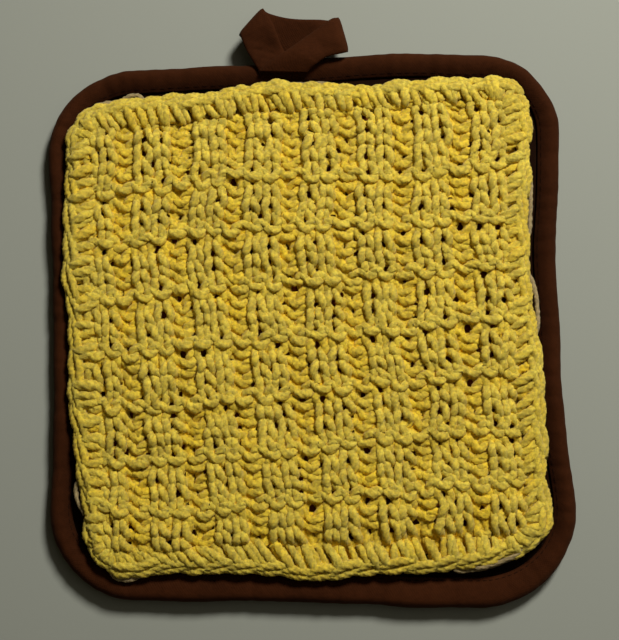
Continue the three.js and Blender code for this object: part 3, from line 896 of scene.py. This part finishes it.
def pad_rings(points, normals):
    """Rings of the pad with their tones of painted light and shade, from its flat underside round the roll
    and in over its face.
    """
    width = by_side(BINDING_WIDTH, normals)
    depth = TAPE_WALL + CLEARANCE
    tucked = by_side(SEAM_HEIGHT, normals) - TAPE_WALL
    rings, tones = [], []

    def add(ring, painted_shading=PLAIN_TONE, scale=1.0):
        ring[:, :2] *= scale
        rings.append(ring)
        tones.append(painted_shading)

    def face_ring(inward, share):
        """Ring of the face, a way in from the seam and a share of the way up to its full height."""
        ring = ring_points(points, normals, width + inward, 0)
        face = FACE_HEIGHT + crown(ring[:, 0], ring[:, 1])
        ring[:, 2] = tucked + (face - tucked) * share
        return ring

    for scale in FACE_SCALES[:0:-1] + (1.0,):
        add(ring_points(points, normals, width + FLOOR_RIM_IN, 0), scale=scale)
    add(ring_points(points, normals, width + CLEARANCE, depth))
    for angle in np.radians(np.arange(-90, 91, 30)):
        add(roll_ring(points, normals, depth, angle))
    for share in SLOPE_SHARES[1:-1:2]:
        add(slope_ring(points, normals, width, share, depth + CLEARANCE))
    # painted shade from the seam in over the open strip of the face
    add(ring_points(points, normals, width, tucked - CLEARANCE - SEAM_TUCK), SHADED_SEAM_TONE)
    for climb in FACE_CLIMB:
        add(face_ring(climb["inward"], climb["share"]), SHADED_SEAM_TONE)
    rim = face_ring(FACE_RIM_IN, 1.0)
    add(rim.copy(), SHADED_SEAM_TONE)
    # painted light on the face under the knitting, so that the holes show brown
    for scale in FACE_SCALES:
        ring = rim.copy()
        ring[:, :2] *= scale
        ring[:, 2] = FACE_HEIGHT + crown(ring[:, 0], ring[:, 1])
        add(ring, LIT_FACE_TONE)
    return rings, tones


def weld(piece):
    """Joins points that lie together and turns every face outwards."""
    bpy.ops.object.select_all(action="DESELECT")
    piece.select_set(True)
    bpy.context.view_layer.objects.active = piece
    bpy.ops.object.mode_set(mode="EDIT")
    bpy.ops.mesh.select_all(action="SELECT")
    bpy.ops.mesh.remove_doubles(threshold=1e-6)
    bpy.ops.mesh.normals_make_consistent(inside=False)
    bpy.ops.object.mode_set(mode="OBJECT")


def make_pad():
    rings, tones = pad_rings(*outline(PAD_CORNERS))
    parts = MeshParts()
    count = len(rings[0])
    faces, places = grid_faces(len(rings), count, wrap_columns=True)
    parts.add(np.vstack(rings), faces, places, np.repeat(tones, count))
    column = np.arange(count)
    beside = (column + 1) % count
    for end, pair in ((0, (beside, column)), (-1, (column, beside))):
        fan = np.stack([*pair, np.full(count, count), np.full(count, -1)], -1)
        parts.add(np.vstack([rings[end], rings[end].mean(0)]), fan, np.zeros((count, 4, 2)), tones[end])
    piece = parts.build("pad_cover", BROWN_CLOTH, "painted_shading")
    weld(piece)
    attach(piece, "root")
    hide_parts("pad")


def tape_section(points, normals, width, relief, depth):
    """Rings of the tape at a depth below its outside, from its lower edge to the seam, and how far across
    the tape each one lies."""
    rings, across = [ring_points(points, normals, width, depth)], [0.0]
    for angle in np.radians(np.arange(-90, 91, 15)):
        ring = roll_ring(points, normals, depth, angle)
        if angle > RELIEF_FROM:
            rise = relief.at(RELIEF_ON_ROLL * (angle - RELIEF_FROM))
            ring[:, 2] += rise * math.sin(max(angle, 0.0))
            ring[:, :2] += normals * (rise * math.cos(angle) * RELIEF_OUTWARDS)[:, None]
        rings.append(ring)
        across.append(WRAP_FROM + WRAP_RADIUS * (angle + math.pi / 2))
    for share in SLOPE_SHARES:
        ring = slope_ring(points, normals, width, share, depth)
        ring[:, 2] += relief.at(RELIEF_AT_CREST * (1 - share) + share) * (1 - 0.5 * share)
        rings.append(ring)
        across.append(SLOPE_FROM + SLOPE_WIDTH * share)
    return rings, across


def make_binding():
    points, normals = outline(PAD_CORNERS, 60, 190)
    width = by_side(BINDING_WIDTH, normals)
    relief = TapeRelief(points)
    outside, across = tape_section(points, normals, width, relief, 0)
    inside, _ = tape_section(points, normals, width, relief, TAPE_WALL)
    rows = outside + inside[::-1]
    across += across[::-1] + [0.0]
    # painted shade: the tape darkens down its slope into the seam
    down_slope = np.clip(np.array(across[:-1]) - SLOPE_FROM, 0, SLOPE_WIDTH) / SLOPE_WIDTH
    painted_shading = PLAIN_TONE * (1 - np.outer(down_slope**1.5, by_side(SEAM_SHADING, normals))).ravel()
    parts = MeshParts()
    faces, places = grid_faces(len(rows), len(points), wrap_rows=True, wrap_columns=True)
    along = np.append(relief.along, relief.length)
    row, column = (places[..., k].astype(int) for k in range(2))
    uvs = np.stack([along[column], np.array(across)[row]], -1) / UV_UNIT
    parts.add(np.array(rows).reshape(-1, 3), faces, uvs, painted_shading)
    piece = parts.build("bound_edge", BROWN_TAPE, "painted_shading")
    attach(piece, "root")
    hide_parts("binding")
    make_seam(points, normals, width, relief)


def make_seam(points, normals, width, relief):
    """Machine stitches through the tape, near its turned edge, above and below."""
    upper = ring_points(points, normals, width - SEAM_INSET, 0)
    share = 1 - SEAM_INSET / (width - ROLL_CREST_IN)
    upper[:, 2] = slope_height(normals, share) + relief.at(0.92) * 0.6 - 0.05
    lower = ring_points(points, normals, width - SEAM_INSET, LOWER_SEAM_HEIGHT)
    parts = MeshParts()
    along = np.append(relief.along, relief.length)
    count = int(relief.length / SEAM_PITCH)
    for line, side in ((upper, 1), (lower, -1)):
        for stitch in range(count):
            places = stitch * relief.length / count + SEAM_PITCH * SEAM_STITCH_ALONG
            path = read_rows(places % relief.length, along, closed(line))
            path[:, 2] += side * SEAM_STITCH_RISE
            yarn_tube(parts, path, SEAM_STITCH_RADIUS)
    # the stitches carry no cloth shading attribute, so the cotton look reads them as the seam's valley and
    # darkens them with its painted shade
    piece = parts.build("seam_stitches", BROWN_THREAD)
    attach(piece, "root")


def loop_rings():
    """Rings round the loop's tape from one stitched end to the other, its middle line, and the shares of
    its width where the ring's points lie."""
    near, far = (catmull_rom([line[edge] for line in LOOP_LINES], LOOP_STEPS) for edge in ("near", "far"))
    puff = [line["puff"] for line in LOOP_LINES]
    puff = np.interp(np.arange(len(near)) / LOOP_STEPS, np.arange(len(puff)), puff)
    middle = (near + far) / 2
    normal = np.cross(far - near, np.gradient(middle, axis=0))
    normal /= np.linalg.norm(normal, axis=1)[:, None]
    share = np.linspace(0, 1, LOOP_COLUMNS + 1)
    top = near[:, None, :] * (1 - share)[None, :, None] + far[:, None, :] * share[None, :, None]
    arch = np.sin(math.pi * share)[None, :]
    top[..., 2] += puff[:, None] * arch
    crumple = smooth_noise(np.random.default_rng(4), 5, 40)
    rows, across = np.meshgrid(np.arange(len(near)) / 4.0, share * 4, indexing="ij")
    top[..., 2] += LOOP_CRUMPLE * crumple(across, rows) * arch**0.5
    lip = 1 - 0.8 * np.abs(2 * share - 1) ** 7      # the tape thins to its folded edges
    offset = normal[:, None, :] * (LOOP_THICKNESS / 2 * lip)[None, :, None]
    return np.concatenate([top + offset, (top - offset)[:, ::-1, :]], 1), middle, share


def make_loop():
    rings, middle, share = loop_rings()
    parts = MeshParts()
    size = rings.shape[1]
    faces, places = grid_faces(len(rings), size, wrap_columns=True)
    length = lengths_along(middle)
    width = np.concatenate([share, 2 - share[::-1] + 0.1, [2.2]]) * LOOP_WIDTH
    row, column = (places[..., k].astype(int) for k in range(2))
    parts.add(rings.reshape(-1, 3), faces, np.stack([length[row], width[column]], -1) / UV_UNIT, PLAIN_TONE)
    for row, flip in ((0, True), (len(rings) - 1, False)):
        quads = []
        for k in range(LOOP_COLUMNS):
            quad = [k, k + 1, size - 2 - k, size - 1 - k]
            quads.append([q + row * size for q in (quad[::-1] if flip else quad)])
        parts.faces.append(np.array(quads))
        parts.uvs.append(np.zeros((len(quads), 4, 2)))
    piece = parts.build("hanging_loop_tape", BROWN_TAPE, "painted_shading")
    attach(piece, "root")
    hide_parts("hanging_loop")


# --- Knitting ---


def is_ridge(row):
    return row > FIRST_RIDGE and row % RIDGE_EVERY == FIRST_RIDGE


def is_purl_column(stitch):
    return stitch % 3 == 2


def knit_sign(stitch, row):
    """1 for a knit stitch and -1 for a purl, seen from the face."""
    return -1 if is_ridge(row) or is_purl_column(stitch) else 1


def column_place(u):
    """Share of the panel's width at a place in stitches: knit columns draw together."""
    edges = [0.0]
    for stitch in range(STITCHES):
        edges.append(edges[-1] + (1 - 2 * KNIT_SHARE if is_purl_column(stitch) else KNIT_SHARE))
    edges = np.array(edges) / edges[-1]
    return np.interp(u, np.arange(STITCHES + 1), edges)


class Fabric:
    """Maps places in stitches and rows to the knit square as it lies on the pad."""

    def __init__(self):
        rng = np.random.default_rng(7)
        self.broad = [smooth_noise(rng, STITCHES // 4 + 2, ROWS // 4 + 2) for _ in range(3)]
        self.fine = [smooth_noise(rng, STITCHES, ROWS + 2) for _ in range(3)]
        self.samples = np.linspace(0, 1, 121)
        self.sides = [np.array([side_curve(PANEL_CORNERS, k, f) for f in self.samples]) for k in range(4)]
        self.corners = [np.array(corner["place"], float) for corner in PANEL_CORNERS]
        self.holes = self.choose_holes(rng)

    def side(self, index, fraction):
        return read_rows(fraction, self.samples, self.sides[index])

    def flat(self, u, v):
        s, t = column_place(u), 1 - (np.asarray(v, float) + ROW_START) / ROWS
        front, right = self.side(0, s), self.side(1, t)
        back, left = self.side(2, 1 - s), self.side(3, 1 - t)
        s, t = s[:, None], t[:, None]
        fl, fr, br, bl = self.corners
        blend = front * (1 - t) + back * t + left * (1 - s) + right * s
        blend -= fl * (1 - s) * (1 - t) + fr * s * (1 - t) + br * s * t + bl * (1 - s) * t
        blend[:, :1] -= TUCK_UNDER_LEFT * (1 - s)
        blend += self.drift(s[:, 0], np.asarray(v, float))
        broad = np.column_stack([self.broad[k](u / 4, v / 4) for k in range(2)])
        fine = np.column_stack([self.fine[k](u, v) for k in range(2)])
        return blend + broad * BROAD_STRAY + fine * FINE_STRAY

    def drift(self, s, v):
        rows = [line["row"] for line in DRIFT]
        share = np.linspace(0, 1, 5)
        strayed = []
        for way in ("right", "back"):
            across = np.array([np.interp(s, share, line[way]) for line in DRIFT])
            place = np.clip(np.interp(v, rows, np.arange(len(rows))), 0, len(rows) - 1.001)
            low = place.astype(int)
            fraction = place - low
            columns = np.arange(len(s))
            strayed.append(across[low, columns] * (1 - fraction) + across[low + 1, columns] * fraction)
        return np.column_stack(strayed)

    def choose_holes(self, rng):
        """Gaps where the pad shows: small ones in the ribs, wider ones just under the ridges."""
        holes = []
        for row in range(ROWS):
            for half_stitch in range(2 * STITCHES):
                between = half_stitch % 2 == 0
                if is_ridge(row):
                    where = "between ridge stitches" if between else "inside a ridge stitch"
                elif half_stitch % 6 == 5:
                    where = "inside a purl"
                else:
                    where = "between stitches" if between else "inside a stitch"
                hole = HOLES[where]
                if rng.random() < hole["chance"]:
                    v = row + (0.45 if between else 0.7)
                    stray = rng.uniform(-0.12, 0.12, 2)
                    push = rng.uniform(hole["least"], hole["most"])
                    holes.append((half_stitch / 2 + stray[0], v + stray[1], push))
        holes = np.array(holes)
        centres = self.flat(holes[:, 0], holes[:, 1])
        return np.column_stack([centres, holes[:, 2]])

    def opened(self, places):
        """Pushes places away from the holes, so that the strands part round them."""
        for x, y, reach in self.holes:
            offset = places - (x, y)
            distance = np.maximum(np.hypot(offset[:, 0], offset[:, 1]), 0.05)
            near = distance < HOLE_REACH
            fade = np.clip((HOLE_REACH - distance[near]) / HOLE_FADE, 0, 1)
            wider = np.sqrt(distance[near] ** 2 + reach**2 * fade)
            places[near] = (x, y) + offset[near] * (wider / distance[near])[:, None]
        return places

    def at(self, u, v, lift):
        places = self.opened(self.flat(u, v))
        face = FACE_HEIGHT + crown(places[:, 0], places[:, 1])
        middle = face + CLEARANCE + YARN_RADIUS + LOOP_DEPTH + FABRIC_LIFT
        wave = self.broad[2](u / 4, v / 4) * BROAD_WAVE + self.fine[2](u, v) * FINE_WAVE
        s, t = column_place(u), (np.asarray(v, float) + ROW_START) / ROWS
        across, along = PANEL_SIZE
        rim = np.minimum(np.minimum(s - 0.02, 1 - s) * across, np.minimum(t, 1 - t) * along)
        sunk = EDGE_SINK * np.clip(1 - rim / EDGE_SINK_WIDTH, 0, 1) ** 2
        return np.column_stack([places, middle + lift + wave - sunk])

    def relief(self, u, v):
        """Lift of the waffle: knit columns forward, purl columns back, ridges highest and steep below."""
        phase = np.abs((u - 2.5 + 1.5) % 3 - 1.5)
        rib = np.clip((phase - RIB_FROM) / RIB_SLOPE, 0, 1)
        rib = rib * rib * (3 - 2 * rib)
        column = PURL_DROP + (RIB_LIFT - PURL_DROP) * rib
        from_ridge = (v - FIRST_RIDGE - 0.2 + RIDGE_EVERY / 2) % RIDGE_EVERY - RIDGE_EVERY / 2
        ridge = np.exp(-((from_ridge / np.where(from_ridge > 0, RIDGE_BELOW, RIDGE_ABOVE)) ** 2))
        strength = np.clip(0.72 + 0.6 * self.fine[0](u * 0.8, v * 0.6), 0.2, 1.15)
        ridge = ridge * (v > FIRST_RIDGE + RIDGE_EVERY / 2) * strength
        return column * (1 - ridge) + RIDGE_LIFT * ridge


def stitch_strand(stitch, row, lean, rng):
    """One stitch of a row: places in stitches and rows, with the depth and the swell of the strand there."""
    own, above = knit_sign(stitch, row), knit_sign(stitch, row + 1)
    ridge, below = is_ridge(row), is_ridge(row + 1)
    purl = is_purl_column(stitch)
    gather = PURL_GATHER if purl and not ridge else 1.0
    half = []
    for point in STITCH_POINTS:
        across = point["across"] * (1.0 if point["at"] in ("foot", "shoulder") else gather)
        half.append((across, point["along"], point["own"] * own + point["next"] * above, point["swell"]))
    head = 1.0 if above > 0 else RIDGE_SWELL if below else COLUMN_SWELL
    head *= rng.uniform(*HEAD_SPREAD)
    heave = rng.uniform(*(RIDGE_HEAVE if below else HEAVE))
    drop = rng.uniform(*DROP)
    turn = lean + rng.uniform(*TURN)
    flatter = PURL_FLAT if purl and not ridge and not below else 1.0
    half[-1] = (*half[-1][:3], (half[-1][3] + head) / 2)
    mirrored = [(-across, *rest) for across, *rest in reversed(half)]
    strand = []
    for across, along, depth, swell in [*half, (0.0, HEAD_ALONG, -above, head), *mirrored]:
        u = stitch + 0.5 + across + turn * (along - 0.5)
        v = row + along + drop * (along > DROP_FROM)
        strand.append((u, v, depth * flatter + heave * max(0.0, along - 0.5), swell))
    return strand


def knit_row_line(fabric, row, lean, rng):
    """Points along one row of knitting from its left edge to its right, with the strand's swell and its
    painted shade there, which grows the lower the strand lies.

    Rows run down from the back edge, so that a loop's head hangs below its legs."""
    strand = []
    for stitch in range(STITCHES):
        own, before = knit_sign(stitch, row), knit_sign(max(stitch - 1, 0), row)
        depth = -(own + before) / 2 * (RIDGE_SINKER if is_ridge(row) else 1.0)
        strand.append((stitch, row + SINKER_ALONG, depth, SINKER_SWELL if own + before < 0 else 1.0))
        strand += stitch_strand(stitch, row, lean, rng)
    strand.append((STITCHES, row + SINKER_ALONG, -knit_sign(STITCHES - 1, row), 1.0))
    u, v, depth, swell = np.array(strand, float).T
    lift = fabric.relief(u, v) + depth * LOOP_DEPTH
    # the last value is painted shade, by how low the strand lies
    return fabric.at(u, v, lift), swell, np.clip((PROUD_LIFT - lift) / SUNK_BY, 0, 1)


def make_knitting(fabric):
    rng = np.random.default_rng(21)
    pieces = []
    for band, name in enumerate(KNIT_BANDS):
        parts = MeshParts()
        first = FIRST_ROW if band == 0 else ROWS * band // len(KNIT_BANDS)
        for row in range(first, ROWS * (band + 1) // len(KNIT_BANDS)):
            lean = LEAN_AT_BACK + LEAN_ADDED * row / ROWS
            points, swell, sunk = knit_row_line(fabric, row, lean, rng)
            line = catmull_rom(points, 2)
            place = np.arange(len(line)) / 2
            slubs = 1 + SLUB * rng.standard_normal(len(points) // SLUB_PITCH + 2)
            thick = np.interp(place, np.arange(len(swell)), swell)
            thick *= np.interp(place / SLUB_PITCH, np.arange(len(slubs)), slubs)
            # painted shade along the tube
            sunk = np.interp(place, np.arange(len(sunk)), sunk)
            yarn_tube(parts, line, YARN_RADIUS * thick, start=rng.uniform(0, PLY_PITCH), depth=sunk)
        piece = parts.build(f"knit_rows_{name}", YELLOW_YARN)
        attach(piece, "root")
        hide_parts("knit_panel")
        pieces.append(piece)
    return pieces


def ground_height(fabric, flat):
    """Height of the close back at places, from the nearest of a net of places in stitches."""
    u, v = np.meshgrid(np.arange(0, STITCHES + 0.01, 0.25), np.arange(FIRST_ROW, ROWS + 0.01, 0.25))
    u, v = u.ravel(), v.ravel()
    net = fabric.at(u, v, fabric.relief(u, v))
    tree = KDTree(len(net))
    for index, (x, y, _) in enumerate(net):
        tree.insert((x, y, 0.0), index)
    tree.balance()
    heights = []
    for x, y in flat:
        found = tree.find_n((x, y, 0.0), 5)
        weights = np.array([1 / (distance + 0.3) for _, _, distance in found])
        past_edge = min(max(found[0][2] - 0.9, 0.0), 2.0)
        level = weights @ net[[index for _, index, _ in found], 2] / weights.sum()
        heights.append(level - GROUND_FALL * past_edge)
    return np.array(heights)


def make_knit_ground(fabric):
    """The close back of the knitting, which shows between the face stitches and opens at the holes. It is
    drawn all in painted shade, the deep yellow.
    """
    points, normals = outline(EDGING_CORNERS, 8, 24)
    rim = points - normals * GROUND_INSET
    low, high = rim.min(0), rim.max(0)
    columns, rows = (np.arange(low[k], high[k] + GROUND_CELL, GROUND_CELL) for k in range(2))
    x, y = np.meshgrid(columns, rows)
    places = np.column_stack([x.ravel(), y.ravel()])
    faces, uvs = grid_faces(len(rows), len(columns))
    centres = places[faces].mean(1)
    keep = np.zeros(len(centres), int)
    for k in range(len(rim)):
        (x0, y0), (x1, y1) = rim[k - 1], rim[k]
        if y0 == y1:
            continue
        crossed = (centres[:, 1] > min(y0, y1)) & (centres[:, 1] <= max(y0, y1))
        keep += crossed & (centres[:, 0] < x0 + (centres[:, 1] - y0) / (y1 - y0) * (x1 - x0))
    inside = keep % 2 == 1
    for hx, hy, reach in fabric.holes:
        size = reach * HOLE_SHARE
        far = np.hypot(centres[:, 0] - hx, centres[:, 1] - hy)
        inside &= far > size
        away = places - (hx, hy)
        distance = np.maximum(np.hypot(away[:, 0], away[:, 1]), 0.05)
        near = distance < size
        places[near] = (hx, hy) + away[near] * (size / distance[near])[:, None]
    faces, uvs = faces[inside], uvs[inside]
    used, renumbered = np.unique(faces, return_inverse=True)
    flat = places[used]
    surface = np.column_stack([flat, ground_height(fabric, flat)])
    parts = MeshParts()
    # full painted shade over the whole back
    parts.add(surface, renumbered.reshape(faces.shape), uvs / UV_UNIT, 1.0)
    return parts.build("knit_ground", SHADED_YELLOW_GROUND)


class EdgeWalk:
    """Places along the edging by distance round its outer edge, and by share of the way to the knitting."""

    def __init__(self):
        self.outer, self.normals = outline(EDGING_CORNERS, 14, 40)
        self.inner, _ = outline(PANEL_CORNERS, 14, 40)
        plain = self.outer.copy()
        for bulge in EDGE_BULGES:
            far = np.linalg.norm(plain - bulge["near"], axis=1) / bulge["reach"]
            self.outer += self.normals * (bulge["out"] * np.exp(-(far**2)))[:, None]
        self.along = lengths_along(closed(self.outer))
        self.length = self.along[-1]

    def at(self, distance):
        """Places on the outer edge and beside the knitting, and the normal."""
        place = distance % self.length
        rows = (self.outer, self.inner, self.normals)
        outer, inner, normal = (read_rows(place, self.along, closed(kept)) for kept in rows)
        return outer, inner, normal / np.linalg.norm(normal)

    def stitch(self, distance, size):
        """A size of the crochet at a place, going over from one side's to the next round the corners."""
        _, _, normal = self.at(distance)
        across = EDGING_STITCHES["right" if normal[0] > 0 else "left"][size]
        along = EDGING_STITCHES["back" if normal[1] > 0 else "front"][size]
        return across * normal[0] ** 2 + along * normal[1] ** 2


def make_edging():
    walk = EdgeWalk()
    rng = np.random.default_rng(5)
    parts = MeshParts()
    start = 0.0
    while start < walk.length - 3:
        pitch = walk.stitch(start, "chain") * rng.uniform(*PITCH_SPREAD)
        add_chain_link(parts, walk, rng, start, pitch)
        start += pitch
    place = 0.0
    while place < walk.length - 1.5:
        spacing = walk.stitch(place, "post")
        add_post(parts, walk, rng, place, spacing, 0)
        add_post(parts, walk, rng, place + 0.5 * spacing, spacing, 1)
        place += spacing * rng.uniform(*PITCH_SPREAD)
    piece = parts.build("knit_edging_stitches", YELLOW_YARN)
    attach(piece, "root")
    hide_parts("knit_edging")
    return piece


def add_chain_link(parts, walk, rng, start, pitch):
    """One hairpin of yarn along the outer edge, its tail under the head of the one before."""
    tilt = math.radians(CHAIN_TILT)
    bow = CHAIN_HALF_WIDTH * rng.uniform(*CHAIN_BOW)
    shove, lift = rng.uniform(*CHAIN_SHOVE), rng.uniform(*CHAIN_LIFT)
    half = [(p["along"], p["across"], p["out"]) for p in CHAIN_POINTS]
    hairpin = half + [(CHAIN_HEAD["along"], 0.0, CHAIN_HEAD["out"])]
    hairpin += [(a, -w, n) for a, w, n in reversed(half)]
    line = []
    for along, across, out in hairpin:
        outer, _, normal = walk.at(start + along * pitch)
        across, out = across * bow, out * EDGING_RADIUS
        inward = CHAIN_INSET + across * math.cos(tilt) - out * math.sin(tilt) - shove
        inward += CHAIN_SLANT * (along - 0.4)
        flat = outer - normal * inward
        line.append((*flat, CHAIN_HEIGHT + lift + across * math.sin(tilt) + out * math.cos(tilt)))
    radius = EDGING_RADIUS * rng.uniform(*CHAIN_SWELL)
    patch = rng.uniform(*CHAIN_PATCH)
    yarn_tube(parts, catmull_rom(line, 3), radius, start=rng.uniform(0, PLY_PITCH), depth=max(0, patch))


def add_post(parts, walk, rng, place, spacing, layer):
    """One slanting strand from under the chain to the knitting; layer 1 lies lower, behind the others, and is
    given painted shade.
    """
    outer_end = place + rng.uniform(*POST_STRAY) * spacing
    lean = POST_LEAN * rng.uniform(*POST_LEANS)
    stretch = walk.stitch(place, "reach") * rng.uniform(*POST_STRETCH)
    raised = rng.uniform(*POST_RISE) - LAYER_DROP * layer
    bend = rng.uniform(*POST_BEND)
    line = []
    for point in POST_POINTS[:: 1 + layer]:
        free = math.sin(math.pi * min(1.0, point["reach"]))
        outer, inner, _ = walk.at(outer_end - lean * (point["reach"] - 0.3) + bend * free)
        share = point["reach"] * stretch
        flat = outer * (1 - share) + inner * share
        line.append((*flat, point["height"] + raised * free))
    radius = walk.stitch(place, "radius") * rng.uniform(*POST_SWELL)
    taper = np.interp(np.linspace(0, 1, 3 * (len(line) - 1) + 1), (0, 0.5, 1), POST_TAPER)
    # a random patch of deeper dye, plus painted shade on the lower layer
    depth = np.clip(rng.uniform(*POST_PATCH) + LAYER_SHADE * layer, 0, 1)
    yarn_tube(parts, catmull_rom(line, 3), radius * taper, start=rng.uniform(0, PLY_PITCH), depth=depth)


def make_joining_yarn():
    """Short slivers of the yarn that joins the square to the pad, just clear of the edging."""
    rng = np.random.default_rng(9)
    parts = MeshParts()
    for sliver in JOINING_SLIVERS:
        line = catmull_rom([(x, y, sliver["height"]) for x, y in sliver["through"]], 5)
        line += rng.uniform(-0.12, 0.12, line.shape)
        thick = JOINING_RADIUS * rng.uniform(0.85, 1.15, len(line))
        yarn_tube(parts, line, thick, start=rng.uniform(0, PLY_PITCH))
    piece = parts.build("joining_yarn", BEIGE_YARN)
    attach(piece, "root")
    return piece


add_camera()
add_floor()
add_lights()

make_pad()
make_binding()
make_loop()
fabric = Fabric()
stitches = make_knitting(fabric)
stitches.append(make_edging())
stitches.append(make_joining_yarn())
ground = make_knit_ground(fabric)
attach(ground, "root")
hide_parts("knit_panel")
